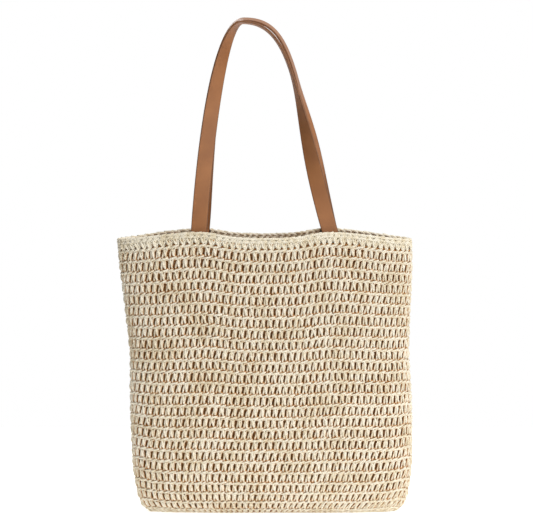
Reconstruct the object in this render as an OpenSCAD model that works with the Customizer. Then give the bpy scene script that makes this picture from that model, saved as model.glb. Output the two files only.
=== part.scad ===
// A soft beach tote: a bag crocheted in the round from paper-straw yarn, a fabric
// lining, and two flat shoulder straps whose ends are sewn down inside the rim.
// Units are millimetres. +Z is up, the front faces -Y, and the origin is the middle
// of the footprint, on the surface that the bag stands on.

/* [Bag] */
// Height of the rim above the base, averaged round the mouth
bag_h = 361.5; // [300:0.5:420]
// Width of the mouth, outside the yarn
mouth_w = 380; // [320:1:440]
// Depth of the open mouth, outside the yarn
mouth_d = 85; // [70:1:120]
// Depth of the body where it is fullest
belly_d = 108; // [90:1:140]
// Width of the flat strip that the bag stands on
base_w = 310; // [250:1:350]
// Depth of that strip
base_d = 34; // [26:1:60]
// How far the body leans sideways between base and rim
body_lean = 10.8; // [0:0.1:14]

/* [Crochet] */
// Thickness of the crocheted fabric
yarn_wall = 5; // [4:0.5:7]
// Height of the dense edging round at the rim
rim_round_h = 15; // [10:1:20]

/* [Lining] */
// Thickness of the lining cloth
cloth_t = 0.8; // [0.6:0.1:1.2]
// Drop of the lining's top edge below the rim
hem_drop = 14; // [13:1:20]
// Depth of the cloth turned under at the hem
hem_turn = 12; // [8:1:20]
// Stitches along the hem
hem_count = 84; // [40:2:120]

/* [Straps] */
// Width of a strap
strap_w = 20.5; // [16:0.5:28]
// Thickness of a strap, both layers
strap_t = 2.6; // [2:0.2:4]
// Middle to middle of one strap's two ends, at the rim
strap_pitch = 168; // [140:1:200]
// Height of the front strap's crown above the rim
strap_drop = 268.5; // [220:0.5:320]
// How much higher the back strap stands
back_rise = 3.4; // [0:0.1:8]
// Length of each sewn end below the rim
tab_l = 38; // [30:1:50]
// Thickness of the reinforcement patch behind each sewn end
patch_t = 0.8; // [0.6:0.1:1.0]
// Height of the reinforcement patch, which ends above the hem
patch_h = 14.5; // [10:0.5:15]

/* [Hidden] */
around = 64;          // facets round the bag
gap = 0.3;            // clearance between bodies
lay = 0.1;            // clearance between layers that lie on each other
strap_steps = 22;     // stations along each half of a strap
stitch = [3, 0.5, 0.8];   // one visible thread stitch: length, height, width

// Outer profile of the body, bottom to top: height, half width, half depth, squareness.
// The foot curls under in one long soft curve, and the fullest level is a quarter of the way up.
foot_w = base_w/2;
foot_d = base_d/2;
full = belly_d/2 - foot_d;    // how far the belly stands out past the foot
belly = [
    [0,             foot_w,            foot_d,                2.7],
    [2,             foot_w + 6,        foot_d + 0.11*full,    2.7],
    [6,             foot_w + 12,       foot_d + 0.26*full,    2.7],
    [12,            foot_w + 16,       foot_d + 0.41*full,    2.7],
    [22,            foot_w + 19.5,     foot_d + 0.58*full,    2.65],
    [34,            foot_w + 22,       foot_d + 0.73*full,    2.6],
    [47,            foot_w + 24,       foot_d + 0.84*full,    2.6],
    [62,            foot_w + 25.5,     foot_d + 0.93*full,    2.6],
    [0.27 * bag_h,  mouth_w/2 - 8.5,   belly_d/2,             2.55],
    [0.42 * bag_h,  mouth_w/2 - 8.5,   belly_d/2 - 1.5,       2.5],
    [0.58 * bag_h,  mouth_w/2 - 10,    belly_d/2 - 4,         2.4],
    [0.74 * bag_h,  mouth_w/2 - 6,     mouth_d/2 + 4,         2.25],
    [0.88 * bag_h,  mouth_w/2 - 2,     mouth_d/2 + 1,         2.15],
    [bag_h,         mouth_w/2,         mouth_d/2,             2.1]];

// A smooth curve through column k of a table whose column 0 is the height
function slope(t, k, i) =
    let (a = max(0, i-1), b = min(len(t)-1, i+1)) (t[b][k] - t[a][k]) / (t[b][0] - t[a][0]);
function on_curve(t, k, z) =
    let (i = max([for (j = [0:len(t)-2]) if (t[j][0] <= max(z, 0)) j]),
         h = t[i+1][0] - t[i][0],
         s = min(1, max(0, (z - t[i][0]) / h)))
    t[i][k]*(1 + 2*s)*pow(1-s, 2) + h*slope(t, k, i)*s*pow(1-s, 2)
    + t[i+1][k]*s*s*(3 - 2*s) - h*slope(t, k, i+1)*s*s*(1-s);
function half_w(z) = on_curve(belly, 1, z);
function half_d(z) = on_curve(belly, 2, z);
function square_of(z) = on_curve(belly, 3, z);
function lean_at(z) = body_lean * (1 - pow(z / bag_h, 1.6));
function ease(a, b, v) = let (t = min(1, max(0, (v - a)/(b - a)))) t*t*(3 - 2*t);

// The rim stands highest where the straps carry it, and sags between them and at the corners
function rim_wave(u) =
    let (off = abs(u) - strap_pitch/mouth_w)
    -2.5 - 4.9*u*u + 8.1*exp(-pow(off / (off < 0 ? 0.18 : 0.4), 2));
function lift(x, z) = rim_wave(2*x/mouth_w) * pow(z/bag_h, 4);
rim_at_strap = bag_h + rim_wave(strap_pitch/mouth_w);

function signed_pow(v, p) = sign(v) * pow(abs(v), p);
// A point of the body's skin at level z and angle ang, taken inwards by inset
function skin(z, ang, inset) =
    let (p = 2/square_of(z),
         x = (half_w(z) - inset) * signed_pow(cos(ang), p),
         y = (half_d(z) - inset) * signed_pow(sin(ang), p))
    [x + lean_at(z), y, z + lift(x, z)];
// How far the skin lies from the middle plane at a given x
function face_y(x, z, inset) =
    let (n = square_of(z), u = abs(x - lean_at(z)) / (half_w(z) - inset))
    (half_d(z) - inset) * pow(1 - pow(u, n), 1/n);

// Layers inside the yarn, each given as its depth from the yarn's outer face
patch_in = yarn_wall + 0.3;
hem_in = patch_in + patch_t + lay;
hem_t = 0.6;
lining_in = hem_in + hem_t + 0.25;
tab_in = lining_in + cloth_t + 0.25;
hem_stitch_off = 0.65;    // middle of a stitch off the cloth, so that its ends clear the tight curves

// Where a strap leaves the rim: its middle, its hinge, and how far its flat turns with the wall
tab_x = strap_pitch/2;
splay = atan2(face_y(tab_x - strap_w/2, bag_h, tab_in) - face_y(tab_x + strap_w/2, bag_h, tab_in), strap_w);
strap_y = face_y(tab_x, bag_h, tab_in) - strap_t/2 - lay;
hinge_y = face_y(tab_x, bag_h, yarn_wall/2);
hinge_z = rim_at_strap;
crown_z = rim_at_strap + strap_drop - strap_t/2;
crown_y = strap_w/2 + 0.5;

// Straps. Each one is two curves that meet at its crown, in the plane of the strap, given by
//   its left and right ends, and its crown, sideways and in height,
//   how the left curve leaves the rim: how far in, and how high as a share of the drop,
//   how far the curves run level before and after the crown,
//   how the right curve comes down to the rim: how far in, and how high as a share of the drop,
//   the turn of the flat: at the crown, the power that it grows by on the left, and the stretch
//   of the right curve over which it is lost again.
front_strap = [[-tab_x, tab_x], [-28, crown_z], [2, 0.15], [35.5, 71.5], [45, 0.57],
    [84, 1.9, 0.44, 1]];
back_strap = [[2.5 - tab_x, tab_x], [-25, crown_z + back_rise], [5, 0.18], [45, 62.5], [44, 0.75],
    [80.5, 1, 0.57, 0.94]];
function bezier(p, t) =
    pow(1-t, 3)*p[0] + 3*t*pow(1-t, 2)*p[1] + 3*t*t*(1-t)*p[2] + pow(t, 3)*p[3];
function bezier_way(p, t) =
    3*pow(1-t, 2)*(p[1]-p[0]) + 6*t*(1-t)*(p[2]-p[1]) + 3*t*t*(p[3]-p[2]);
function left_leg(s) = [
    [s[0][0], hinge_z], [s[0][0] + s[2][0], hinge_z + s[2][1]*strap_drop],
    s[1] - [s[3][0], 0], s[1]];
function right_leg(s) = [
    s[1], s[1] + [s[3][1], 0],
    [s[0][1] - s[4][0], hinge_z + s[4][1]*strap_drop], [s[0][1], hinge_z]];
// At the rim the flat follows the wall, and at the crown it is nearly level
function turn_left(s, t) = s[5][0]*pow(t, s[5][1]) - splay*(1 - ease(0, 0.3, t));
function turn_right(s, t) = s[5][0]*(1 - ease(s[5][2], s[5][3], t)) - splay*ease(0.7, 1, t);

// One cross-section of a strap layer between two depths through its thickness
function strap_ring(p, way, turn, low, high) =
    let (w = way / norm(way),
         along = (p[1] - hinge_z) / (crown_z - hinge_z),
         y = -strap_y + (strap_y - crown_y) * along,
         inner = [w[1], 0, -w[0]],
         face = inner * sin(turn) + [0, -cos(turn), 0],
         wide = inner * cos(turn) + [0, sin(turn), 0],
         c = [p[0], y, p[1]])
    [c + wide*strap_w/2 + face*low, c + wide*strap_w/2 + face*high,
     c - wide*strap_w/2 + face*high, c - wide*strap_w/2 + face*low];
function strap_rings(s, low, high) = concat(
    [for (i = [0:strap_steps]) let (t = i/strap_steps)
        strap_ring(bezier(left_leg(s), t), bezier_way(left_leg(s), t), turn_left(s, t), low, high)],
    [for (i = [1:strap_steps]) let (t = i/strap_steps)
        strap_ring(bezier(right_leg(s), t), bezier_way(right_leg(s), t), turn_right(s, t), low, high)]);

// Angles that space count marks evenly round the skin at level z
function round_way(z, inset) =
    let (n = 720, p = [for (i = [0:n]) skin(z, i*360/n, inset)])
    [for (i = 0, s = 0; i <= n; s = s + (i < n ? norm(p[i+1] - p[i]) : 0), i = i + 1) [s, i*360/n]];
function even_angles(z, inset, count) =
    let (way = round_way(z, inset), whole = way[len(way)-1][0])
    [for (i = [0:count-1]) lookup((i + 0.5)*whole/count, way)];

straw = "cornsilk";
cloth = "peru";
tan_leather = "sienna";
black_felt = "black";
thread = "saddlebrown";

// A solid swept through rings of points, with flat ends
module sweep(rings) {
    n = len(rings[0]);
    last = len(rings) - 1;
    polyhedron(
        points = [for (r = rings) each r],
        faces = concat(
            [[for (i = [n-1:-1:0]) i]],
            [[for (i = [0:n-1]) last*n + i]],
            [for (k = [0:last-1], i = [0:n-1]) each side_faces(k*n, (k+1)*n, i, n)]),
        convexity = 8);
}
// The same sweep, closed on itself
module loop_sweep(rings) {
    n = len(rings[0]);
    m = len(rings);
    polyhedron(
        points = [for (r = rings) each r],
        faces = [for (k = [0:m-1], i = [0:n-1]) each side_faces(k*n, ((k+1) % m)*n, i, n)],
        convexity = 8);
}
// Both faces of a thin wall are cut along the same diagonals, so that it stays even where it twists
function side_faces(a, b, i, n) =
    let (j = (i+1) % n)
    i < n/2 ? [[a + i, a + j, b + i], [a + j, b + j, b + i]]
            : [[a + i, a + j, b + j], [a + i, b + j, b + i]];

// A band right round the body between two depths, through the levels given
module band(levels, outer, inner) {
    loop_sweep([for (g = full_turn) concat(
        [for (z = levels) skin(z, g, outer)],
        [for (i = [len(levels)-1:-1:0]) skin(levels[i], g, inner)])]);
}
module footprint(z, inset) {
    polygon([for (g = full_turn) let (p = skin(z, g, inset)) [p[0], p[1]]]);
}

// Yarn parts
module crochet_base() {
    color(straw) linear_extrude(yarn_wall) footprint(0, gap);
}

full_turn = [for (i = [0:around-1]) i*360/around];
module crochet_wall() {
    foot = [0, 1, 2, 4, 7, 12, 18, 26, 36, 48, 62];
    top = bag_h - rim_round_h - gap;
    levels = concat(foot, [for (i = [1:7]) 62 + i*(top - 62)/7]);
    inner_start = 4;        // the first level that clears the base
    lip = yarn_wall + 3;    // how far the wall's inner foot reaches in over the base's edge
    rings = [for (g = full_turn) concat(
        [for (z = levels) skin(z, g, 0)],
        [for (i = [len(levels)-1:-1:inner_start]) skin(levels[i], g, yarn_wall)],
        [skin(yarn_wall + 0.2, g, lip), let (p = skin(0, g, 0)) [p[0], p[1], yarn_wall]])];
    color(straw) loop_sweep(rings);
}

module crochet_rim() {
    color(straw) band([bag_h - rim_round_h, bag_h - rim_round_h/2, bag_h], 0, yarn_wall);
}

// Lining
module lining_panel(start) {
    side_gap = 0.4;
    angles = [for (i = [0:around/2]) start + side_gap + i*(180 - 2*side_gap)*2/around];
    foot = [8, 12, 18, 26, 36, 48, 62];
    levels = concat(foot, [for (i = [1:7]) 62 + i*(bag_h - hem_drop - 62)/7]);
    color(cloth) sweep([for (g = angles) concat(
        [for (z = levels) skin(z, g, lining_in)],
        [for (i = [len(levels)-1:-1:0]) skin(levels[i], g, lining_in + cloth_t)])]);
}
module lining_base_panel() {
    color(cloth) translate([0, 0, yarn_wall + 0.8])
        linear_extrude(cloth_t) footprint(yarn_wall + 1, lining_in + cloth_t + 1);
}
module lining_hem() {
    color(cloth) band([bag_h - hem_drop - hem_turn, bag_h - hem_drop - 1], hem_in, hem_in + hem_t);
}
module hem_stitches() {
    z = bag_h - hem_drop - 4;
    inset = lining_in + cloth_t + hem_stitch_off;
    for (g = even_angles(z, inset, hem_count)) {
        p = skin(z, g, inset);
        way = skin(z, g + 0.5, inset) - skin(z, g - 0.5, inset);
        if (abs(abs(p[0]) - tab_x) > strap_w/2 + stitch[0])    // none under the sewn ends
            color(thread) translate(p) rotate([0, 0, atan2(way[1], way[0])]) cube(stitch, center = true);
    }
}

// Sewn ends of strap s, on the front: side is -1 for the left one and 1 for the right one
function end_x(s, side) = side < 0 ? s[0][0] : s[0][1];
module at_end(s, side) {
    leg = side < 0 ? bezier_way(left_leg(s), 0) : -bezier_way(right_leg(s), 1);
    translate([end_x(s, side), -strap_y, hinge_z])
        rotate([0, atan2(leg[0], leg[1]), 0]) rotate([0, 0, side*splay]) children();
}
module patch(s, side) {
    top = 0.5;    // below the strap's bend
    y = -face_y(tab_x, bag_h, patch_in) + lay;
    color(black_felt) translate([end_x(s, side), y, hinge_z - top - patch_h]) rotate([0, 0, side*splay])
        translate([-strap_w/2 - 1, 0, 0]) cube([strap_w + 2, patch_t, patch_h]);
}
module tab(s, side) {
    color(tan_leather) at_end(s, side)
        translate([-strap_w/2, -strap_t/2, -tab_l]) cube([strap_w, strap_t, tab_l - gap]);
}
module tab_stitches(s, side) {
    box_w = strap_w - 6;
    box_h = 22;
    across = 4;
    down = 5;
    color(thread) at_end(s, side) translate([0, strap_t/2, -tab_l + 4]) {
        for (i = [0:across-1], z = [0, box_h])
            translate([(i + 0.5)*box_w/across - box_w/2 - stitch[0]/2 + 0.2, 0, z - stitch[2]/2])
                cube([stitch[0] - 0.4, stitch[1], stitch[2]]);
        for (i = [0:down-1], x = [-1, 1])
            translate([x*box_w/2 - stitch[2]/2, 0, (i + 0.5)*box_h/down - stitch[0]/2])
                cube([stitch[2], stitch[1], stitch[0]]);
    }
}

// Straps
module strap_layer(s, low, high) {
    color(tan_leather) sweep(strap_rings(s, low, high));
}
module back() { mirror([0, 1, 0]) children(); }
glue = 0.02;   // half the glue line between a strap's two layers

crochet_base();
crochet_wall();
crochet_rim();
lining_panel(180);  // lining_front_panel
lining_panel(0);  // lining_back_panel
lining_base_panel();
lining_hem();
hem_stitches();
patch(front_strap, -1);  // front_left_patch
patch(front_strap, 1);  // front_right_patch
back() patch(back_strap, -1);  // back_left_patch
back() patch(back_strap, 1);  // back_right_patch
tab(front_strap, -1);  // front_left_tab
tab(front_strap, 1);  // front_right_tab
back() tab(back_strap, -1);  // back_left_tab
back() tab(back_strap, 1);  // back_right_tab
tab_stitches(front_strap, -1);  // front_left_stitches
tab_stitches(front_strap, 1);  // front_right_stitches
back() tab_stitches(back_strap, -1);  // back_left_stitches
back() tab_stitches(back_strap, 1);  // back_right_stitches
strap_layer(front_strap, -strap_t/2, -glue);  // front_strap_top_layer
strap_layer(front_strap, glue, strap_t/2);  // front_strap_under_layer
back() strap_layer(back_strap, -strap_t/2, -glue);  // back_strap_top_layer
back() strap_layer(back_strap, glue, strap_t/2);  // back_strap_under_layer
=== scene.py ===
import math

import bpy
import numpy as np
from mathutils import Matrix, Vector


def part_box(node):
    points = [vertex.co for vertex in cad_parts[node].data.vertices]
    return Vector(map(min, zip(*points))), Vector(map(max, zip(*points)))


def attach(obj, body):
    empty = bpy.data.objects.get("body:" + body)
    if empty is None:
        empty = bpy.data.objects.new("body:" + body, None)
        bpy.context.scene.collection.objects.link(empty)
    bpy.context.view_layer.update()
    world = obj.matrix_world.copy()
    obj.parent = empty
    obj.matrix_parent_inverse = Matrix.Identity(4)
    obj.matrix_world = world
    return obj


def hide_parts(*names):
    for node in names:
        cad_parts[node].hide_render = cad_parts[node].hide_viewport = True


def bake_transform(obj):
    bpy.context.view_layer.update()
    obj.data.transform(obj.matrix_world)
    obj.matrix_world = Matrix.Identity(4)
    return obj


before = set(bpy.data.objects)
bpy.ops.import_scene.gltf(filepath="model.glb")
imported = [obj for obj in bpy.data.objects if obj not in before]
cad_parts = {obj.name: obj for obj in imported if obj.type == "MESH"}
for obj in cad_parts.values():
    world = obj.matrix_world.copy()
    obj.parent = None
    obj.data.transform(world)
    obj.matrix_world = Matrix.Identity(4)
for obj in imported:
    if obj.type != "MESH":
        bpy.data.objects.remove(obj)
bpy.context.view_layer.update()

mm = 0.001
dice = np.random.default_rng(31)


# the bag's skin follows the same curves as the CAD, sized from its nodes; lengths are in mm
def nodeSize(name):
    low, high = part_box(name)
    return [(high[i] - low[i]) / mm for i in range(3)]


body = {
    "height": 361.5,                            # rim height averaged round the mouth
    "mouthWidth": nodeSize("crochet_rim")[0],
    "mouthDepth": 85,
    "bellyDepth": nodeSize("crochet_wall")[1],
    "footWidth": nodeSize("crochet_base")[0] + 0.6,
    "footDepth": nodeSize("crochet_base")[1] + 0.6,
    "lean": 10.8,                               # the foot stands this far to the right
    "strapPitch": 168,                          # middle to middle of a strap's ends
    "wall": 5,                                  # thickness of the crocheted fabric
}


def bellyTable(b):
    foot, depth = b["footWidth"] / 2, b["footDepth"] / 2
    mouth, full = b["mouthWidth"] / 2, b["bellyDepth"] / 2 - b["footDepth"] / 2
    h = b["height"]
    return np.array([          # height, half width, half depth, squareness
        [0, foot, depth, 2.7],
        [2, foot + 6, depth + 0.11 * full, 2.7],
        [6, foot + 12, depth + 0.26 * full, 2.7],
        [12, foot + 16, depth + 0.41 * full, 2.7],
        [22, foot + 19.5, depth + 0.58 * full, 2.65],
        [34, foot + 22, depth + 0.73 * full, 2.6],
        [47, foot + 24, depth + 0.84 * full, 2.6],
        [62, foot + 25.5, depth + 0.93 * full, 2.6],
        [0.27 * h, mouth - 8.5, depth + full, 2.55],
        [0.42 * h, mouth - 8.5, depth + full - 1.5, 2.5],
        [0.58 * h, mouth - 10, depth + full - 4, 2.4],
        [0.74 * h, mouth - 6, b["mouthDepth"] / 2 + 4, 2.25],
        [0.88 * h, mouth - 2, b["mouthDepth"] / 2 + 1, 2.15],
        [h, mouth, b["mouthDepth"] / 2, 2.1]])


belly = bellyTable(body)


def smoothColumn(z, column):
    # a smooth curve through one column of the table
    heights, values = belly[:, 0], belly[:, column]
    before, after = np.arange(len(heights)) - 1, np.arange(len(heights)) + 1
    before[0], after[-1] = 0, len(heights) - 1
    slopes = (values[after] - values[before]) / (heights[after] - heights[before])
    i = np.clip(np.searchsorted(heights, z, side="right") - 1, 0, len(heights) - 2)
    step = heights[i + 1] - heights[i]
    s = np.clip((z - heights[i]) / step, 0, 1)
    return (values[i] * (1 + 2 * s) * (1 - s) ** 2 + step * slopes[i] * s * (1 - s) ** 2
            + values[i + 1] * s * s * (3 - 2 * s) - step * slopes[i + 1] * s * s * (1 - s))


def rimWave(u):
    # the rim stands highest at the straps, and sags between them and towards the corners
    off = np.abs(u) - body["strapPitch"] / body["mouthWidth"]
    return -2.5 - 4.9 * u * u + 8.1 * np.exp(-(off / np.where(off < 0, 0.18, 0.4)) ** 2)


def leanAt(z):
    return body["lean"] * (1 - (np.maximum(z, 0) / body["height"]) ** 1.6)


def skin(z, angle, inset=0.0):
    # a point of the bag's outer face at height z and angle round, taken inwards by inset
    power = 2 / smoothColumn(z, 3)
    c, s = np.cos(angle), np.sin(angle)
    x = (smoothColumn(z, 1) - inset) * np.sign(c) * np.abs(c) ** power
    y = (smoothColumn(z, 2) - inset) * np.sign(s) * np.abs(s) ** power
    lift = rimWave(2 * x / body["mouthWidth"]) * (z / body["height"]) ** 4
    return np.stack([x + leanAt(z), y, z + lift], -1)


def evenAngles(z, inset, count, start=0.0):
    # angles that space count marks evenly round the skin at height z
    fine = np.linspace(0, 2 * math.pi, 4000)
    ring = skin(np.full_like(fine, z), fine, inset)
    walk = np.concatenate([[0], np.cumsum(np.linalg.norm(np.diff(ring, axis=0), axis=1))])
    return np.interp(((np.arange(count) + start) / count % 1) * walk[-1], walk, fine)


def faceY(x, z, inset):
    # how far the skin lies from the middle plane at x
    n = smoothColumn(z, 3)
    u = np.abs(x - leanAt(z)) / (smoothColumn(z, 1) - inset)
    return (smoothColumn(z, 2) - inset) * (1 - u ** n) ** (1 / n)


class Fabric:
    # the outer face of the crocheted fabric as a sheet: 'around' runs once about the bag and
    # 'up' runs from the fold in the bottom, across the foot and up the wall to the rim
    def __init__(self, across=960, levels=420):
        heights = np.concatenate([np.linspace(0, 1, 60, endpoint=False) ** 1.6 * 60,
                                  np.linspace(60, body["height"], 200)])
        angles = np.array([evenAngles(z, 0, across) for z in heights])
        wall = skin(heights[:, None] + 0 * angles, angles)
        edge = wall[0]
        reach = body["footWidth"] / 2 - body["footDepth"] / 2
        fold = np.stack([np.clip(edge[:, 0] - body["lean"], -reach, reach) + body["lean"],
                         0 * edge[:, 1], edge[:, 2]], -1)
        share = np.linspace(0, 1, 24, endpoint=False)[:, None, None]
        path = np.concatenate([fold + (edge - fold) * share, wall])
        walk = np.concatenate([np.zeros((1, across)),
                               np.cumsum(np.linalg.norm(np.diff(path, axis=0), axis=2), 0)])
        self.rise = float(walk[-1].mean())      # length of a column, fold to rim
        even = np.linspace(0, 1, levels)
        self.points = np.empty((levels, across, 3))
        for column in range(across):
            for axis in range(3):
                self.points[:, column, axis] = np.interp(
                    even * walk[-1, column], walk[:, column], path[:, column, axis])
        along = np.roll(self.points, -1, 1) - np.roll(self.points, 1, 1)
        outward = np.cross(along, np.gradient(self.points, axis=0))
        outward[:8] = (0, 0, -1e-3)             # the folded middle of the bottom faces down
        outward /= np.linalg.norm(outward, axis=2, keepdims=True) + 1e-12
        for _ in range(6):
            outward[1:-1] = (outward[:-2] + 2 * outward[1:-1] + outward[2:]) / 4
        self.outward = outward / np.linalg.norm(outward, axis=2, keepdims=True)

    def at(self, around, up, off):
        # around and up are shares; off is in mm outwards from the middle of the yarn
        levels, across = self.points.shape[:2]
        x = (around % 1) * across
        y = np.clip(up, 0, 1) * (levels - 1)
        i, j = np.floor(x).astype(int) % across, np.minimum(np.floor(y).astype(int), levels - 2)
        u, v = (x - np.floor(x))[..., None], (y - j)[..., None]
        k = (i + 1) % across

        def read(grid):
            return ((grid[j, i] * (1 - u) + grid[j, k] * u) * (1 - v)
                    + (grid[j + 1, i] * (1 - u) + grid[j + 1, k] * u) * v)
        point = read(self.points)
        above = np.maximum(up - 1, 0)[..., None] * self.rise
        return (point + read(self.outward) * (off[..., None] - body["wall"] / 2)
                + above * np.array([0, 0, 1.0]))


print("stage: skin")
fabric = Fabric()


def linear(hexColour):
    # an sRGB colour as the linear one that a shader takes
    def channel(pair):
        value = int(pair, 16) / 255
        return value / 12.92 if value <= 0.04045 else ((value + 0.055) / 1.055) ** 2.4
    return tuple(channel(hexColour[i:i + 2]) for i in (0, 2, 4)) + (1,)


def node(tree, kind, settings=None, **links):
    # adds one node; settings go to its sockets, by name or number, or to the node itself, and
    # links bring other nodes' sockets in: Name=socket, or i0=socket for input number 0
    made = tree.nodes.new(kind)
    for key, value in (settings or {}).items():
        if isinstance(key, int) or key in made.inputs:
            made.inputs[key].default_value = value
        else:
            setattr(made, key, value)
    for key, source in links.items():
        name = int(key[1:]) if key[0] == "i" and key[1:].isdigit() else key.replace("_", " ")
        tree.links.new(source, made.inputs[name])
    return made


def newMaterial(name, **shader):
    made = bpy.data.materials.new(name)
    made.use_nodes = True
    tree = made.node_tree
    surface = tree.nodes["Principled BSDF"]
    for key, value in shader.items():
        surface.inputs[key.replace("_", " ")].default_value = value
    return made, tree, surface


def ramp(tree, source, stops):
    # stops: a place and a hex colour or a grey
    made = node(tree, "ShaderNodeValToRGB", None, Fac=source)
    while len(made.color_ramp.elements) < len(stops):
        made.color_ramp.elements.new(0.5)
    for element, (place, colour) in zip(made.color_ramp.elements, stops):
        element.position = place
        element.color = linear(colour) if isinstance(colour, str) else (colour,) * 3 + (1,)
    return made.outputs["Color"]


def multiply(tree, colour, by, share):
    return node(tree, "ShaderNodeMix", {"data_type": "RGBA", "blend_type": "MULTIPLY", 0: share},
                i6=colour, i7=by).outputs[2]


def addBump(tree, surface, height, strength, depth):
    bump = node(tree, "ShaderNodeBump", {"Strength": strength, "Distance": depth * mm},
                Height=height)
    tree.links.new(bump.outputs[0], surface.inputs["Normal"])


def paperStraw():
    # twisted paper straw, undyed: dull, cream with paler and tanner lengths, with creases along
    # the twist and painted shade in each crease so that each strand carries fine slanting lines,
    # and painted shade on strands deep in the fabric
    made, tree, surface = newMaterial("twistedPaperStraw", Roughness=0.62, IOR=1.45)
    along = node(tree, "ShaderNodeUVMap", {"uv_map": "yarn"}).outputs["UV"]
    where = node(tree, "ShaderNodeTexCoord").outputs["Object"]
    lengths = node(tree, "ShaderNodeTexNoise", {"Scale": 26.0, "Detail": 3.0}, Vector=where)
    patches = node(tree, "ShaderNodeTexNoise", {"Scale": 210.0, "Detail": 2.0}, Vector=where)
    # four paper pleats round a strand, one turn in 11 mm
    pleats = 4 * 2 * math.pi
    pleat = node(tree, "ShaderNodeVectorMath",
                 {"operation": "DOT_PRODUCT", 1: (pleats / 11, pleats, 0)}, i0=along)
    crease = node(tree, "ShaderNodeMath", {"operation": "SINE"}, i0=pleat.outputs["Value"])
    blend = node(tree, "ShaderNodeMath", {"operation": "MULTIPLY_ADD", 1: 0.9},
                 i0=lengths.outputs["Fac"], i2=patches.outputs["Fac"])
    tone = ramp(tree, blend.outputs[0], [(0.62, "d3c5a9"), (0.9, "ddd3bc"), (1.0, "e5decd")])
    # painted shade: the colour darkens in the creases of the pleats
    shade = ramp(tree, crease.outputs[0], [(0.0, "ebe6dc"), (0.5, "ffffff")])
    creaseShadedTone = multiply(tree, tone, shade, 0.8)
    # painted shade on strands deep in the fabric, warmed like light thrown back by the tan lining
    # behind them
    depth = node(tree, "ShaderNodeUVMap", {"uv_map": "depth"}).outputs["UV"]
    out = node(tree, "ShaderNodeSeparateXYZ", None, Vector=depth)
    paintedGapShade = ramp(tree, out.outputs["X"], [(0.3, "99591f"), (0.6, "d49b58"), (0.8, "ffffff")])
    tree.links.new(multiply(tree, creaseShadedTone, paintedGapShade, 1.0), surface.inputs["Base Color"])
    addBump(tree, surface, crease.outputs[0], 0.35, 0.25)
    return made


def cottonLining():
    # plain-woven cotton lining, dyed tan: matt, with a fine square weave
    made, tree, surface = newMaterial("wovenCottonLining", Roughness=0.85, IOR=1.45)
    where = node(tree, "ShaderNodeTexCoord").outputs["Object"]
    # a wave repeats every pi / 10 at scale 1, so that the threads here are 1 mm apart, twice
    # as coarse as real ones, to let them show
    spacing = 1 / (math.pi * mm)
    warp = node(tree, "ShaderNodeTexWave", {"Scale": spacing, "bands_direction": "X"},
                Vector=where)
    weft = node(tree, "ShaderNodeTexWave", {"Scale": spacing, "bands_direction": "Z"},
                Vector=where)
    cloth = node(tree, "ShaderNodeTexNoise", {"Scale": 9.0, "Detail": 2.0}, Vector=where)
    weave = node(tree, "ShaderNodeMath", {"operation": "MULTIPLY"},
                 i0=warp.outputs["Fac"], i1=weft.outputs["Fac"])
    tone = ramp(tree, cloth.outputs["Fac"], [(0.3, "cf9256"), (0.7, "dea56a")])
    threads = ramp(tree, weave.outputs[0], [(0.0, 0.86), (0.8, 1.0)])
    tree.links.new(multiply(tree, tone, threads, 0.7), surface.inputs["Base Color"])
    addBump(tree, surface, weave.outputs[0], 0.3, 0.1)
    return made


def tannedLeather():
    # smooth tan leather, roller coated: a soft even sheen over a very fine pebble, with
    # painted edges and a dark line along each corner
    made, tree, surface = newMaterial("coatedTanLeather", Roughness=0.46, IOR=1.5)
    where = node(tree, "ShaderNodeTexCoord").outputs["Object"]
    strip = node(tree, "ShaderNodeUVMap", {"uv_map": "strip"}).outputs["UV"]
    clouds = node(tree, "ShaderNodeTexNoise", {"Scale": 34.0, "Detail": 4.0}, Vector=where)
    # pebbles 0.5 mm across
    grain = node(tree, "ShaderNodeTexVoronoi", {"Scale": 1 / (0.5 * mm), "feature": "F1"},
                 Vector=where)
    tone = ramp(tree, clouds.outputs["Fac"], [(0.3, "875630"), (0.7, "956137")])
    across = node(tree, "ShaderNodeSeparateXYZ", None, Vector=strip)
    edge = ramp(tree, across.outputs["X"],
                [(0.0, 0.72), (0.012, 0.4), (0.03, 0.45), (0.045, 1.0)])
    tree.links.new(multiply(tree, tone, edge, 1.0), surface.inputs["Base Color"])
    addBump(tree, surface, grain.outputs["Distance"], 0.12, 0.06)
    return made


def blackFelt():
    # pressed black felt: very matt, with short tangled fibres
    made, tree, surface = newMaterial("pressedBlackFelt", Roughness=0.95, IOR=1.45)
    where = node(tree, "ShaderNodeTexCoord").outputs["Object"]
    fibres = node(tree, "ShaderNodeTexNoise", {"Scale": 900.0, "Detail": 4.0}, Vector=where)
    tree.links.new(ramp(tree, fibres.outputs["Fac"], [(0.3, "070707"), (0.7, "1c1b1a")]),
                   surface.inputs["Base Color"])
    addBump(tree, surface, fibres.outputs["Fac"], 0.6, 0.3)
    return made


def sewingThread(name, dark, light):
    # twisted polyester sewing thread: a dull sheen and a tight slanting twist, with painted shade
    # and painted highlight in stripes along the plies
    made, tree, surface = newMaterial(name, Roughness=0.5, IOR=1.5)
    along = node(tree, "ShaderNodeUVMap", {"uv_map": "yarn"}).outputs["UV"]
    turn = 2 * math.pi                          # there is one every 0.9 mm
    twist = node(tree, "ShaderNodeVectorMath",
                 {"operation": "DOT_PRODUCT", 1: (turn / 0.9, turn, 0)}, i0=along)
    plyShadeAndLight = node(tree, "ShaderNodeMath", {"operation": "SINE"}, i0=twist.outputs["Value"])
    # painted shade in the grooves between the plies and painted highlight on their crowns
    tree.links.new(ramp(tree, plyShadeAndLight.outputs[0], [(0.0, dark), (0.7, light)]),
                   surface.inputs["Base Color"])
    return made


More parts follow.
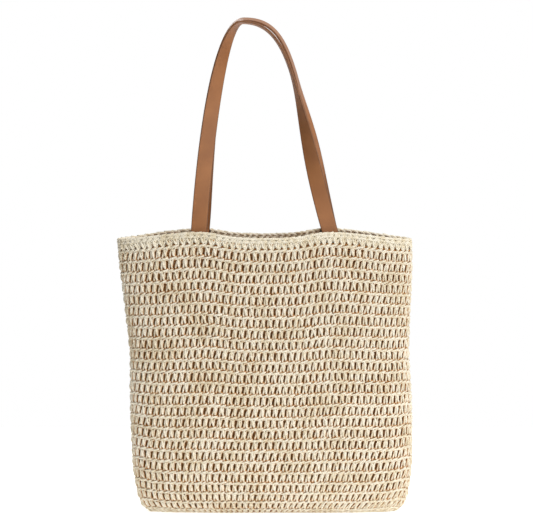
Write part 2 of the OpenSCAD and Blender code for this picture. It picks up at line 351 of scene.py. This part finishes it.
print("stage: materials")
straw = paperStraw()
lining = cottonLining()
leather = tannedLeather()
felt = blackFelt()
liningThread = sewingThread("tanSewingThread", "7a4d28", "a87546")
strapThread = sewingThread("brownSewingThread", "6a4022", "96633a")


def newPiece(name, points, faces, material, smooth=True):
    # points in mm, faces as an array of quads
    mesh = bpy.data.meshes.new(name)
    points = np.asarray(points, float).reshape(-1, 3) * mm
    faces = np.asarray(faces).reshape(-1, 4)
    mesh.vertices.add(len(points))
    mesh.vertices.foreach_set("co", points.ravel())
    mesh.loops.add(faces.size)
    mesh.loops.foreach_set("vertex_index", faces.ravel().astype(np.int32))
    mesh.polygons.add(len(faces))
    mesh.polygons.foreach_set("loop_start", (np.arange(len(faces)) * 4).astype(np.int32))
    mesh.polygons.foreach_set("use_smooth", np.full(len(faces), smooth))
    mesh.update(calc_edges=True)
    mesh.validate()
    mesh.materials.append(material)
    piece = bpy.data.objects.new(name, mesh)
    bpy.context.collection.objects.link(piece)
    return piece


def solid(piece, thickness):
    made = piece.modifiers.new("thickness", "SOLIDIFY")
    made.thickness = thickness * mm
    made.offset = 0


def sheetFaces(rows, columns):
    i = np.arange(rows - 1)[:, None] * columns + np.arange(columns - 1)[None, :]
    return np.stack([i, i + 1, i + columns + 1, i + columns], -1).reshape(-1, 4)


def tubeFaces(rings, sides, closed):
    ring = np.arange(rings if closed else rings - 1)[:, None]
    side = np.arange(sides)[None, :]
    after, beside = (ring + 1) % rings, (side + 1) % sides
    return np.stack([ring * sides + side, ring * sides + beside,
                     after * sides + beside, after * sides + side], -1).reshape(-1, 4)


def giveMap(piece, name, corners):
    # corners: a u and a v for each face corner, in the faces' order
    layer = piece.data.uv_layers.new(name=name)
    layer.data.foreach_set("uv", np.asarray(corners, np.float32).ravel())


def carryFrames(line):
    # a side direction at every point of each closed line, turned as little as possible along it
    way = np.roll(line, -1, 1) - np.roll(line, 1, 1)
    way /= np.linalg.norm(way, axis=2, keepdims=True) + 1e-12
    side = np.empty_like(line)
    first = np.cross(way[:, 0], np.array([0.3, 0.2, 0.93]))
    side[:, 0] = first / np.linalg.norm(first, axis=1, keepdims=True)
    for i in range(1, line.shape[1]):
        turn = side[:, i - 1] - way[:, i] * np.sum(side[:, i - 1] * way[:, i], 1, keepdims=True)
        side[:, i] = turn / (np.linalg.norm(turn, axis=1, keepdims=True) + 1e-12)
    # the turn left over at the join is shared out
    last = side[:, -1] - way[:, 0] * np.sum(side[:, -1] * way[:, 0], 1, keepdims=True)
    last /= np.linalg.norm(last, axis=1, keepdims=True)
    rest = np.arctan2(np.sum(np.cross(last, side[:, 0]) * way[:, 0], 1),
                      np.sum(last * side[:, 0], 1))
    spin = rest[:, None] * np.linspace(0, 1, line.shape[1])[None, :]
    return way, side * np.cos(spin)[..., None] + np.cross(way, side) * np.sin(spin)[..., None]


def waves(count, length, roughness, rows=1):
    # smooth random waves with period count, about one bump every length steps
    top = max(2, int(count / length))
    phase = dice.uniform(0, 2 * math.pi, (rows, top))
    size = dice.normal(0, 1, (rows, top)) / (1 + np.arange(top) / top) ** roughness
    t = np.arange(count) / count * 2 * math.pi
    wave = np.zeros((rows, count))
    for k in range(1, top + 1):
        wave += size[:, k - 1:k] * np.sin(k * t[None, :] + phase[:, k - 1:k])
    return wave / (wave.std(axis=1, keepdims=True) + 1e-9)


yarn = {
    "stitchesRound": 96,
    "tallRows": 26,             # the first lies on the bottom, folded about the middle
    "denseRow": 11.4,           # short row under the edging
    "edging": 5.0,              # slip stitched edge, lying along the rim
    "radius": 1.46,             # of the paper strand
    "slant": 2.9,               # how far a stitch's top stands to the right of its foot
    "uneven": 0.10,             # share of a stitch that each one wanders by
    "sides": 8,
    "twistLength": 11,          # mm of strand to one turn
    "girthRadius": 130,         # of a circle as long as the bag's girth
    "girthDrift": 0.045,        # stitches, by which whole stretches of a round slip sideways
    "heightDrift": 0.3,         # mm, by which they rise and fall
}

# each stitch is followed along its yarn: share of its width, mm above its foot, below its
# top or off its middle, mm outwards, and how many steps are taken to the next point
tallStitch = [
    # the chain's front limb, then its back limb, which shows above it
    (0.04, "top", -2.1, 1.2, 2), (0.50, "top", -1.0, 2.4, 2), (0.98, "top", 0.3, 1.3, 2),
    (0.90, "top", 1.5, 0.1, 1), (0.40, "top", 1.1, 0.0, 2),
    # down behind the stitch and under the chain below
    (0.34, "top", -2.8, -1.5, 1), (0.36, "foot", 3.0, -1.6, 2), (0.30, "foot", -0.6, -0.8, 2),
    # left upright, in front
    (0.24, "foot", 2.0, 1.1, 2), (0.24, "middle", 0, 1.2, 3), (0.27, "top", -4.2, 1.2, 2),
    # over, and down across the front
    (0.31, "top", -2.9, 1.6, 2), (0.38, "top", -4.6, 2.3, 2), (0.48, "middle", 0, 2.6, 3),
    (0.62, "foot", 3.9, 2.2, 2), (0.70, "foot", 2.2, 0.9, 2),
    # right upright
    (0.70, "foot", 3.0, 0.7, 2), (0.67, "middle", 0, 1.2, 3), (0.64, "top", -3.6, 1.2, 2),
    (0.82, "top", -2.2, 0.8, 2),
]
# the row under the edging is the same stitch, short and spread until it closes up
shortStitch = [(0.5 + (u - 0.5) * (1.7 if where != "top" else 1.2), where, up * 0.8, out, steps)
               for u, where, up, out, steps in tallStitch]
# the edging is slip stitched: a plait of loops along the rim, drawn down over the row below
edgeStitch = [
    (-0.25, "foot", 2.4, 1.3, 2), (0.30, "top", -1.7, 1.9, 2), (0.95, "top", -1.1, 0.9, 2),
    (0.80, "top", -1.2, -0.9, 2), (0.30, "top", -1.5, -1.6, 2), (-0.20, "foot", 2.2, -1.6, 2),
    (0.25, "foot", 0.5, -1.5, 2), (0.60, "foot", -0.6, -1.0, 2), (0.40, "foot", -1.2, 0.6, 1),
    (0.28, "foot", -0.7, 1.4, 2), (0.50, "foot", 0.9, 1.9, 2),
]


def stitchPoints(pattern, height):
    def level(word, offset):
        return {"top": height, "foot": 0, "middle": height / 2}[word] + offset
    return np.array([[u, level(word, v), w] for u, word, v, w, _ in pattern])


def smoothLine(points, steps):
    # closed lines (rows, points, 3) drawn smoothly with so many steps after each point
    before, after = np.roll(points, 1, 1), np.roll(points, -1, 1)
    beyond = np.roll(points, -2, 1)
    pieces = []
    order = []
    for count in sorted(set(steps)):
        chosen = np.flatnonzero(np.array(steps) == count)
        for k in range(count):
            t = k / count
            pieces.append((points[:, chosen] * (2 - 5 * t * t + 3 * t ** 3)
                           + before[:, chosen] * (-t + 2 * t * t - t ** 3)
                           + after[:, chosen] * (t + 4 * t * t - 3 * t ** 3)
                           + beyond[:, chosen] * (t ** 3 - t * t)) / 2)
            order.append(chosen + t)
    order = np.argsort(np.concatenate(order), kind="stable")
    return np.concatenate(pieces, 1)[:, order]


rowHeight = (fabric.rise - yarn["edging"] - yarn["denseRow"]) / yarn["tallRows"]
levels = [rowHeight * i for i in range(yarn["tallRows"] + 1)]
levels += [levels[-1] + yarn["denseRow"], fabric.rise]
stitches = yarn["stitchesRound"]
print("stage: crochet, rise", round(fabric.rise, 1), "rows of", round(rowHeight, 2))

# where the feet of the stitches stand round the bag, level by level, in stitches
slantShift = yarn["slant"] / (2 * math.pi * yarn["girthRadius"] / stitches)
wander = yarn["girthDrift"] * np.cumsum(waves(stitches, 16, 1, len(levels)), axis=0)
marks = np.arange(stitches) + wander + yarn["uneven"] * dice.normal(0, 1, wander.shape)
marks += slantShift * np.arange(len(levels))[:, None]

# how far each foot stands above or below its level
liftWaves = yarn["heightDrift"] * waves(stitches, 28, 1, len(levels))
liftWaves[-2:] *= 0.3                           # the edging lies straighter
# the rim's rise at the straps fades faster down the rows than in the skin
nearRim = fabric.at(np.arange(stitches) / stitches, np.full(stitches, 0.95), np.zeros(stitches))
for rowsDown, share in enumerate((0.0, 0.06, 0.12, 0.12, 0.06)):
    liftWaves[-1 - rowsDown] -= share * (rimWave(2 * nearRim[:, 0] / body["mouthWidth"]) + 2.5)


def crochetRow(pattern, row):
    # the yarn's points through one row: place, how far out it lies, and the way outwards
    height = levels[row + 1] - levels[row]
    points = np.repeat(stitchPoints(pattern, height)[None], stitches, 0)    # stitch, point, 3
    points = points + dice.normal(0, 1, points.shape) * np.array([0.018, 0.22, 0.12])
    v = points[:, :, 1] / height
    place = np.arange(stitches)[:, None] + points[:, :, 0]
    i = np.floor(place).astype(int)

    def mark(feet):
        left = feet[i % stitches] + i // stitches * stitches
        right = feet[(i + 1) % stitches] + (i + 1) // stitches * stitches
        return left * (1 - (place - i)) + right * (place - i)
    around = (mark(marks[row]) * (1 - v) + mark(marks[row + 1]) * v) / stitches
    lift = liftWaves[row][:, None] * (1 - v) + liftWaves[row + 1][:, None] * v
    up = (levels[row] + points[:, :, 1] + lift) / fabric.rise
    centre = fabric.at(around, up, points[:, :, 2])
    outward = fabric.at(around, up, points[:, :, 2] + 1) - centre
    # the rows at the rim have no lining behind them, so that they count as in front and get none
    # of the painted gap shade
    out = points[:, :, 2:] if row < yarn["tallRows"] else np.full_like(points[:, :, 2:], 5.0)
    return np.concatenate([centre, out, outward], -1)


def crochetRows(prefix, pattern, chosen):
    rows = [crochetRow(pattern, row).reshape(-1, 7) for row in chosen]
    steps = [step for *_, step in pattern] * stitches
    yarnTubes([f"{prefix}{row + 1:02d}" for row in chosen], smoothLine(np.array(rows), steps))


def yarnTubes(names, line):
    # one closed tube for each row, with a slow twist, a little flattened and uneven
    ringCount, sides = line.shape[1], yarn["sides"]
    out, outward = line[..., 3], line[..., 4:]
    shake = np.stack([waves(ringCount, 6, 0, len(line)) for _ in range(3)], -1)
    centre = line[..., :3] + 0.10 * shake
    way, side = carryFrames(centre)
    other = np.cross(way, side)
    walk = np.cumsum(np.linalg.norm(np.diff(centre, axis=1, append=centre[:, :1]), axis=2), 1)
    thick = yarn["radius"] * (1 + 0.07 * waves(ringCount, 9, 0, len(centre)))
    angle = np.arange(sides) / sides * 2 * math.pi
    turns = np.round(walk[:, -1] / yarn["twistLength"])[:, None]
    spin = walk / walk[:, -1:] * turns * 2 * math.pi
    lobes = 1 + 0.10 * np.cos(2 * (angle[None, None, :] - spin[:, :, None]))
    reach = thick[:, :, None] * lobes
    rings = (centre[:, :, None, :]
             + side[:, :, None, :] * (reach * np.cos(angle))[..., None]
             + other[:, :, None, :] * (reach * np.sin(angle))[..., None])
    rings[..., 2] = np.maximum(rings[..., 2], 0.05)             # the bottom lies on the floor
    # 0 on strands at the back of the fabric, 1 where they face out in front: where the straw's
    # painted gap shade goes
    facing = (np.sum(side * outward, -1)[:, :, None] * np.cos(angle)
              + np.sum(other * outward, -1)[:, :, None] * np.sin(angle))
    depth = np.clip((out[:, :, None] + yarn["radius"] * facing + 1.5) / 5, 0, 1)
    faces = tubeFaces(ringCount, sides, True)
    k = np.arange(sides)[None, :]
    v = np.stack([k, k + 1, k + 1, k], -1) / sides
    for name, ring, length, near in zip(names, rings, walk, depth):
        piece = newPiece(name, ring, faces, straw)
        low = np.concatenate([[0], length[:-1]])[:, None] + 0 * k
        high = length[:, None] + 0 * k
        u = np.stack([low, low, high, high], -1)
        giveMap(piece, "yarn", np.stack([u, v + 0 * u], -1))
        far = np.roll(near, -1, 0)
        across = np.stack([near, np.roll(near, -1, 1), np.roll(far, -1, 1), far], -1)
        giveMap(piece, "depth", np.stack([across, v + 0 * u], -1))
        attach(piece, "bag")
        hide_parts("crochet_base", "crochet_wall", "crochet_rim")


crochetRows("crochetRound", tallStitch, range(yarn["tallRows"]))
crochetRows("crochetShortRound", shortStitch, [yarn["tallRows"]])
crochetRows("crochetEdging", edgeStitch, [yarn["tallRows"] + 1])


cloth = {
    "inset": 7.05,              # outer face of the lining, from the yarn's outer face
    "thick": 0.8,
    "hemInset": 6.2,            # the edge turned under lies between the lining and the yarn
    "hemThick": 0.6,
    "hemDrop": 14,              # below the rim
    "hemTurn": 12,
    "crease": 1.3,              # how far the cloth ripples inwards
    "stitches": 84,
    "stitchLength": 3.0,
    "stitchThick": 0.6,
    "baseHeight": 5.8,
}


def ripple(angle, z):
    # gentle standing folds, fading out towards the hem and the bottom
    fade = np.clip((body["height"] - 50 - z) / 60, 0, 1) * np.clip(z / 40, 0, 1)
    folds = (np.sin(angle * 17 + 2.2 * np.sin(z / 47)) + np.sin(angle * 29 - z / 38 + 1.1)
             + 0.8 * np.sin(z / 21 + 3 * np.sin(angle * 5)))
    return cloth["crease"] * fade * (0.5 + folds / 5.6)


def liningPanel(name, start, nodes):
    # half of the lining, up from its bottom seam and turned out and down again at the hem
    angle = np.radians(np.linspace(start + 0.5, start + 179.5, 150))
    top = body["height"] - cloth["hemDrop"]
    heights = np.concatenate([[8, 12, 18, 26, 36], np.linspace(48, top - 2, 60), [top - 0.7, top]])
    middle = cloth["inset"] + cloth["thick"] / 2
    turned = cloth["hemInset"] + cloth["hemThick"] / 2
    rings = [skin(np.full_like(angle, z), angle, middle + ripple(angle, z)) for z in heights]
    rings.append(skin(np.full_like(angle, top + 0.4), angle, (middle + turned) / 2))
    for z in np.linspace(top, top - cloth["hemTurn"], 7):
        rings.append(skin(np.full_like(angle, z), angle, turned))
    panel = newPiece(name, rings, sheetFaces(len(rings), len(angle)), lining)
    solid(panel, cloth["hemThick"])
    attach(panel, "bag")
    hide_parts(*nodes)
    half = skin(np.full_like(angle, body["height"] / 2), angle, middle)


def liningBase():
    # the bottom panel lies on the yarn, with its edge turned up a little at the seam
    count = 180
    angle = np.arange(count) / count * 2 * math.pi
    edge = skin(np.full(count, 6.0), angle, cloth["inset"] + 1)
    reach = body["footWidth"] / 2 - body["footDepth"] / 2
    fold = edge.copy()
    fold[:, 0] = np.clip(edge[:, 0] - body["lean"], -reach, reach) + body["lean"]
    fold[:, 1] = 0
    shares = np.concatenate([[0.02], np.linspace(0.12, 1, 9)])
    rings = []
    for share in shares:
        ring = fold + (edge - fold) * share
        ring[:, 2] = (cloth["baseHeight"] + 0.4 + 1.6 * share ** 6
                      + 0.25 * np.sin(ring[:, 0] / 19) * (1 - share))
        rings.append(ring)
    faces = tubeFaces(len(rings), count, False)[:, ::-1]
    middle = np.array([[k, (k + 1) % count, (count - k - 1) % count, (-k) % count]
                       for k in range(1, count // 2)])
    panel = newPiece("liningBottom", rings, np.concatenate([faces, middle]), lining)
    solid(panel, cloth["hemThick"])
    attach(panel, "bag")
    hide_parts("lining_base_panel")


def stitchRun(name, feet, ways, ups, length, thick, material, cadNode):
    # short thread stitches: each rises out of the cloth, lies on it and goes back in
    rings, sides = 9, 8
    t = np.linspace(-1, 1, rings)
    along = t[None, :, None] * ways[:, None, :] * length / 2
    rise = (0.55 * thick * (1 - np.abs(t) ** 4) - 0.35 * thick)[None, :, None] * ups[:, None, :]
    line = feet[:, None, :] + along + rise
    across = np.cross(ways, ups)
    angle = np.arange(sides) / sides * 2 * math.pi
    swell = thick / 2 * (1 - 0.35 * np.abs(t) ** 3)
    ring = (line[:, :, None, :]
            + (swell[None, :, None] * np.cos(angle))[..., None] * across[:, None, None, :]
            + (swell[None, :, None] * np.sin(angle))[..., None] * ups[:, None, None, :])
    faces = tubeFaces(rings, sides, False)
    caps = np.array([[0, 3, 2, 1], [0, 5, 4, 3], [0, 7, 6, 5]])
    faces = np.concatenate([faces, caps, (caps + (rings - 1) * sides)[:, ::-1]])
    whole = (faces[None] + np.arange(len(feet))[:, None, None] * rings * sides).reshape(-1, 4)
    piece = newPiece(name, ring, whole, material)
    local = np.arange(len(feet) * rings * sides) % (rings * sides)
    u, v = local // sides * (length / (rings - 1)), local % sides / sides
    giveMap(piece, "yarn", np.stack([u, v], -1)[whole])
    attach(piece, "bag")
    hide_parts(cadNode)


def hemStitching():
    z = body["height"] - cloth["hemDrop"] - 4
    inset = cloth["inset"] + cloth["thick"] + 0.25
    angle = evenAngles(z, inset, cloth["stitches"], 0.5)
    feet = skin(np.full_like(angle, z), angle, inset)
    ways = (skin(np.full_like(angle, z), angle + 0.005, inset)
            - skin(np.full_like(angle, z), angle - 0.005, inset))
    ways[:, 2] = 0
    ways /= np.linalg.norm(ways, axis=1, keepdims=True)
    ups = np.cross(np.array([0, 0, 1.0]), ways)                 # towards the middle of the bag
    clear = np.abs(np.abs(feet[:, 0]) - body["strapPitch"] / 2) > strap["width"] / 2 + 3
    stitchRun("hemStitching", feet[clear], ways[clear], ups[clear], cloth["stitchLength"],
              cloth["stitchThick"], liningThread, "hem_stitches")


strap = {
    "width": 20.5,
    "thick": 2.6,               # two layers glued together
    "gluedGap": 0.04,
    "drop": 268.5,              # from the front strap's crown to the rim
    "tail": 38,                 # end sewn inside the bag
    "tabInset": 8.1,
    "edgeRound": 0.55,          # outer edges, rubbed round
    "gluedRound": 0.15,         # edges at the glue line
    "steps": 64,
    "stitchLength": 3.0,
    "stitchThick": 0.7,
    "boxWide": 14.5,            # the box of stitches in a tail
    "boxHigh": 22,
}
tabX = body["strapPitch"] / 2
# each strap is two curves that meet at its crown: its ends and crown sideways, how much higher
# than the drop it stands, how each curve leaves the rim (how far in, and how high as a share of
# the drop), how far both run level at the crown, the turn of the flat there, the power that it
# grows by on the left, and the stretch of the right curve over which it is lost again
shapes = {
    "front": {"ends": (-tabX, tabX), "crown": -28, "higher": 0, "left": (2, 0.15),
              "level": (35.5, 71.5), "right": (45, 0.57), "turn": 84, "grows": 1.9,
              "lost": (0.44, 1)},
    "back": {"ends": (2.5 - tabX, tabX), "crown": -25, "higher": 3.4, "left": (5, 0.18),
             "level": (45, 62.5), "right": (44, 0.75), "turn": 80.5, "grows": 1,
             "lost": (0.57, 0.94)},
}
hingeZ = body["height"] + float(rimWave(body["strapPitch"] / body["mouthWidth"]))
tabFace = faceY(np.array([tabX - strap["width"] / 2, tabX + strap["width"] / 2]),
                body["height"], strap["tabInset"])
splay = math.degrees(math.atan2(tabFace[0] - tabFace[1], strap["width"]))
strapY = float(faceY(tabX, body["height"], strap["tabInset"])) - strap["thick"] / 2 - 0.1
crownZ = hingeZ + strap["drop"] - strap["thick"] / 2
crownY = strap["width"] / 2 + 0.5


def ease(low, high, t):
    s = np.clip((t - low) / (high - low), 0, 1)
    return s * s * (3 - 2 * s)


def bezier(points, t):
    p, t = np.array(points, float), t[:, None]
    place = ((1 - t) ** 3 * p[0] + 3 * t * (1 - t) ** 2 * p[1]
             + 3 * t * t * (1 - t) * p[2] + t ** 3 * p[3])
    way = (3 * (1 - t) ** 2 * (p[1] - p[0]) + 6 * t * (1 - t) * (p[2] - p[1])
           + 3 * t * t * (p[3] - p[2]))
    return place, way / np.linalg.norm(way, axis=1, keepdims=True)


def strapLine(shape):
    # places (x, z), directions and turns of the flat along a strap from tail to tail
    drop, t = strap["drop"], np.linspace(0, 1, strap["steps"] + 1)
    (low, high), (before, after) = shape["ends"], shape["level"]
    crown, top = shape["crown"], crownZ + shape["higher"]
    leftIn, leftUp = shape["left"]
    rightIn, rightUp = shape["right"]
    left, leftWay = bezier([[low, hingeZ], [low + leftIn, hingeZ + leftUp * drop],
                            [crown - before, top], [crown, top]], t)
    right, rightWay = bezier([[crown, top], [crown + after, top],
                              [high - rightIn, hingeZ + rightUp * drop], [high, hingeZ]], t)
    turnLeft = shape["turn"] * t ** shape["grows"] - splay * (1 - ease(0, 0.3, t))
    turnRight = shape["turn"] * (1 - ease(*shape["lost"], t)) - splay * ease(0.7, 1, t)
    tail = np.linspace(strap["tail"], 1.5, 14)[:, None]
    place = np.concatenate([left[0] - leftWay[0] * tail, left, right[1:],
                            right[-1] + rightWay[-1] * tail[::-1]])
    way = np.concatenate([leftWay[0] + 0 * tail, leftWay, rightWay[1:], rightWay[-1] + 0 * tail])
    turn = np.concatenate([turnLeft[0] + 0 * tail[:, 0], turnLeft, turnRight[1:],
                           turnRight[-1] + 0 * tail[:, 0]])
    return place, way, np.radians(turn)


def layerSection(inner, outer):
    # (across, through) round one layer's section, from the glue line to its outer face
    half, corner = strap["width"] / 2, np.radians([0, 30, 60, 90])
    way = math.copysign(1, outer - inner)

    def side(level, r, to):
        bend = [(half - r + r * math.cos(a), level + to * (r * math.sin(a) - r)) for a in corner]
        flat = [(x, level) for x in np.linspace(half - r, -half + r, 8)[1:-1]]
        return bend + flat + [(-x, y) for x, y in bend[::-1]]
    section = np.array(side(outer, strap["edgeRound"], way)
                       + side(inner, strap["gluedRound"], -way)[::-1])
    return section if way > 0 else section[::-1]


def strapLayer(name, word, inner, outer, nodes):
    # one leather layer of a strap, with its two tails, bent at the rim
    side = -1 if word == "front" else 1
    place, way, turn = strapLine(shapes[word])
    along = np.clip((place[:, 1] - hingeZ) / (crownZ - hingeZ), 0, 1)
    y = -strapY + (strapY - crownY) * along
    centre = np.stack([place[:, 0], y, place[:, 1]], -1)
    level = np.stack([way[:, 1], 0 * y, -way[:, 0]], -1)
    up = np.array([0, 1.0, 0])
    face = level * np.sin(turn)[:, None] - up * np.cos(turn)[:, None]
    wide = level * np.cos(turn)[:, None] + up * np.sin(turn)[:, None]
    section = layerSection(inner, outer)
    rings = (centre[:, None, :] + wide[:, None, :] * section[None, :, :1]
             + face[:, None, :] * section[None, :, 1:])
    count, sides = len(rings), len(section)
    k = np.arange(sides // 2 - 1)
    cap = np.stack([k, k + 1, sides - 2 - k, sides - 1 - k], -1)
    faces = np.concatenate([tubeFaces(count, sides, False)[:, ::-1], cap,
                            (cap + (count - 1) * sides)[:, ::-1]])
    if side > 0:                                # the back strap is the mirror of the front one
        rings = rings * np.array([1, -1, 1])
        faces = faces[:, ::-1]
    piece = newPiece(name, rings, faces, leather)
    fromEdge = np.tile((strap["width"] / 2 - np.abs(section[:, 0])) / strap["width"], count)
    length = np.repeat(np.arange(count) / count, sides)
    giveMap(piece, "strip", np.stack([fromEdge, length], -1)[faces])
    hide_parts(*nodes)
    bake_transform(piece)


def tailStitching(name, word, end, cadNode):
    # a box of stitches on the inboard face of one tail, the left one for end -1
    shape = shapes[word]
    place, way, turn = strapLine(shape)
    down = -way[0] if end < 0 else way[-1]
    along = np.array([down[0], 0, down[1]])     # from the hinge down the tail
    inner = np.array([-along[2], 0, along[0]])
    spread = math.radians(splay) * end
    across = inner * math.cos(spread) + np.array([0, math.sin(spread), 0])
    inboard = np.cross(along, across)
    inboard *= np.sign(inboard[1])
    foot = np.array([shape["ends"][end > 0], -strapY, hingeZ]) + inboard * (strap["thick"] / 2)
    spots, ways = [], []
    for i in range(4):
        for v in (0, 1):
            spots.append(((i + 0.5) / 4 - 0.5, v, across))
    for i in range(6):
        for u in (-0.5, 0.5):
            spots.append((u, (i + 0.5) / 6, along))
    feet = np.array([foot + across * u * strap["boxWide"]
                     + along * (strap["tail"] - 4 - strap["boxHigh"] * v) for u, v, _ in spots])
    ways = np.array([w for *_, w in spots])
    ups = np.repeat(inboard[None], len(spots), 0)
    if word == "back":
        feet, ways, ups = (p * np.array([1, -1, 1]) for p in (feet, ways, ups))
    stitchRun(name, feet, ways, ups, strap["stitchLength"], strap["stitchThick"],
              strapThread, cadNode)


patches = {
    "wide": strap["width"] + 2,
    "high": 14.0,
    "drop": 1.5,                # top edge below the rim
    "thick": 0.8,
    "inset": 5.3,               # outer face, from the yarn's outer face
    "middle": 0.5,              # from the outer face to the felt's middle
}


def feltPatch(name, word, end, cadNode):
    # a felt square between the tail and the yarn, soft at its edges
    wide, high = patches["wide"], patches["high"]
    u, v = np.meshgrid(np.linspace(-1, 1, 25), np.linspace(-1, 1, 17))
    corner = 1 - 0.045 * (u * v) ** 4
    wobble = 0.12 * (np.sin(u * 9 + end) + np.sin(v * 7 + len(word)))
    x, z = u * corner * wide / 2, v * corner * high / 2 + wobble * np.abs(v) ** 6
    y = 0.12 * np.sin(u * 6 + v * 5)
    middle = -float(faceY(tabX, body["height"], patches["inset"])) + patches["middle"]
    spread = math.radians(splay) * end
    points = np.stack([shapes[word]["ends"][end > 0] + x * math.cos(spread) - y * math.sin(spread),
                       middle + x * math.sin(spread) + y * math.cos(spread),
                       hingeZ - patches["drop"] - high / 2 + z], -1)
    points = points * np.array([1, 1 if word == "front" else -1, 1])
    patch = newPiece(name, points, sheetFaces(*u.shape), felt)
    solid(patch, patches["thick"])
    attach(patch, "bag")
    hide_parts(cadNode)


print("stage: lining")
hemStitching()
liningBase()
liningPanel("liningFront", 180, ["lining_front_panel", "lining_hem"])
liningPanel("liningBack", 0, ["lining_back_panel", "lining_hem"])

print("stage: straps")
half, glue = strap["thick"] / 2, strap["gluedGap"] / 2
for word in shapes:
    tails = [f"{word}_left_tab", f"{word}_right_tab"]
    strapLayer(word + "StrapTopLayer", word, -glue, -half, [f"{word}_strap_top_layer"] + tails)
    strapLayer(word + "StrapUnderLayer", word, glue, half, [f"{word}_strap_under_layer"] + tails)
    for end, hand in ((-1, "left"), (1, "right")):
        tailStitching(word + hand.capitalize() + "TailStitching", word, end,
                      f"{word}_{hand}_stitches")
        feltPatch(word + hand.capitalize() + "FeltPatch", word, end, f"{word}_{hand}_patch")


print("stage: camera and light")
view = {"distance": 4.0, "elevation": 4.7, "lookAt": (0.0026, 0, 0.320), "widthSeen": 0.689}
camera = bpy.data.objects.new("camera", bpy.data.cameras.new("camera"))
bpy.context.collection.objects.link(camera)
rise = math.radians(view["elevation"])
back = Vector((0, -math.cos(rise), math.sin(rise)))
camera.location = Vector(view["lookAt"]) + view["distance"] * back
camera.rotation_euler = (math.pi / 2 - rise, 0, 0)
camera.data.sensor_width = 36
camera.data.lens = 36 * view["distance"] / view["widthSeen"]
camera.data.clip_end = 100
bpy.context.scene.camera = camera


def softLight(name, place, size, power):
    light = bpy.data.lights.new(name, "AREA")
    light.size = size
    light.energy = power
    made = bpy.data.objects.new(name, light)
    made.location = place
    made.rotation_euler = (Vector((0, 0, 0.3)) - Vector(place)).to_track_quat("-Z", "Y").to_euler()
    bpy.context.collection.objects.link(made)


softLight("keyLight", (2.2, -2.5, 3.0), 2.2, 112)
softLight("topFill", (0.2, -0.6, 3.4), 1.6, 24)
softLight("backFill", (-1.4, 2.8, 1.6), 2.0, 50)

world = bpy.data.worlds.new("studio")
bpy.context.scene.world = world
world.use_nodes = True
# a white studio, with the walls on the left darker than those on the right
sky = world.node_tree
where = node(sky, "ShaderNodeTexCoord").outputs["Generated"]
apart = node(sky, "ShaderNodeSeparateXYZ", None, Vector=where)
walls = ramp(sky, node(sky, "ShaderNodeMapRange", {"From Min": -1.0, "From Max": 1.0},
                       Value=apart.outputs["X"]).outputs["Result"], [(0.2, 0.13), (0.55, 0.74)])
seen = node(sky, "ShaderNodeLightPath").outputs["Is Camera Ray"]
white = node(sky, "ShaderNodeMix", {"data_type": "RGBA", 7: (1, 1, 1, 1)}, i0=seen, i6=walls)
sky.links.new(white.outputs[2], sky.nodes["Background"].inputs["Color"])
sky.nodes["Background"].inputs["Strength"].default_value = 1.0
bpy.context.scene.view_settings.view_transform = "Standard"


def paintedFloor():
    # white painted board, lit a little from below so that it stays white
    made, tree, surface = newMaterial("paintedBoard", Roughness=0.9, Emission_Strength=0.5)
    surface.inputs["Emission Color"].default_value = (1, 1, 1, 1)
    where = node(tree, "ShaderNodeTexCoord").outputs["Object"]
    speckle = node(tree, "ShaderNodeTexNoise", {"Scale": 40.0}, Vector=where)
    tree.links.new(ramp(tree, speckle.outputs["Fac"], [(0.3, "fdfdfd"), (0.7, "ffffff")]),
                   surface.inputs["Base Color"])
    return made


floor = newPiece("floor", [[-800, -800, 0], [800, -800, 0], [800, 800, 0], [-800, 800, 0]],
                 [[0, 1, 2, 3]], paintedFloor())
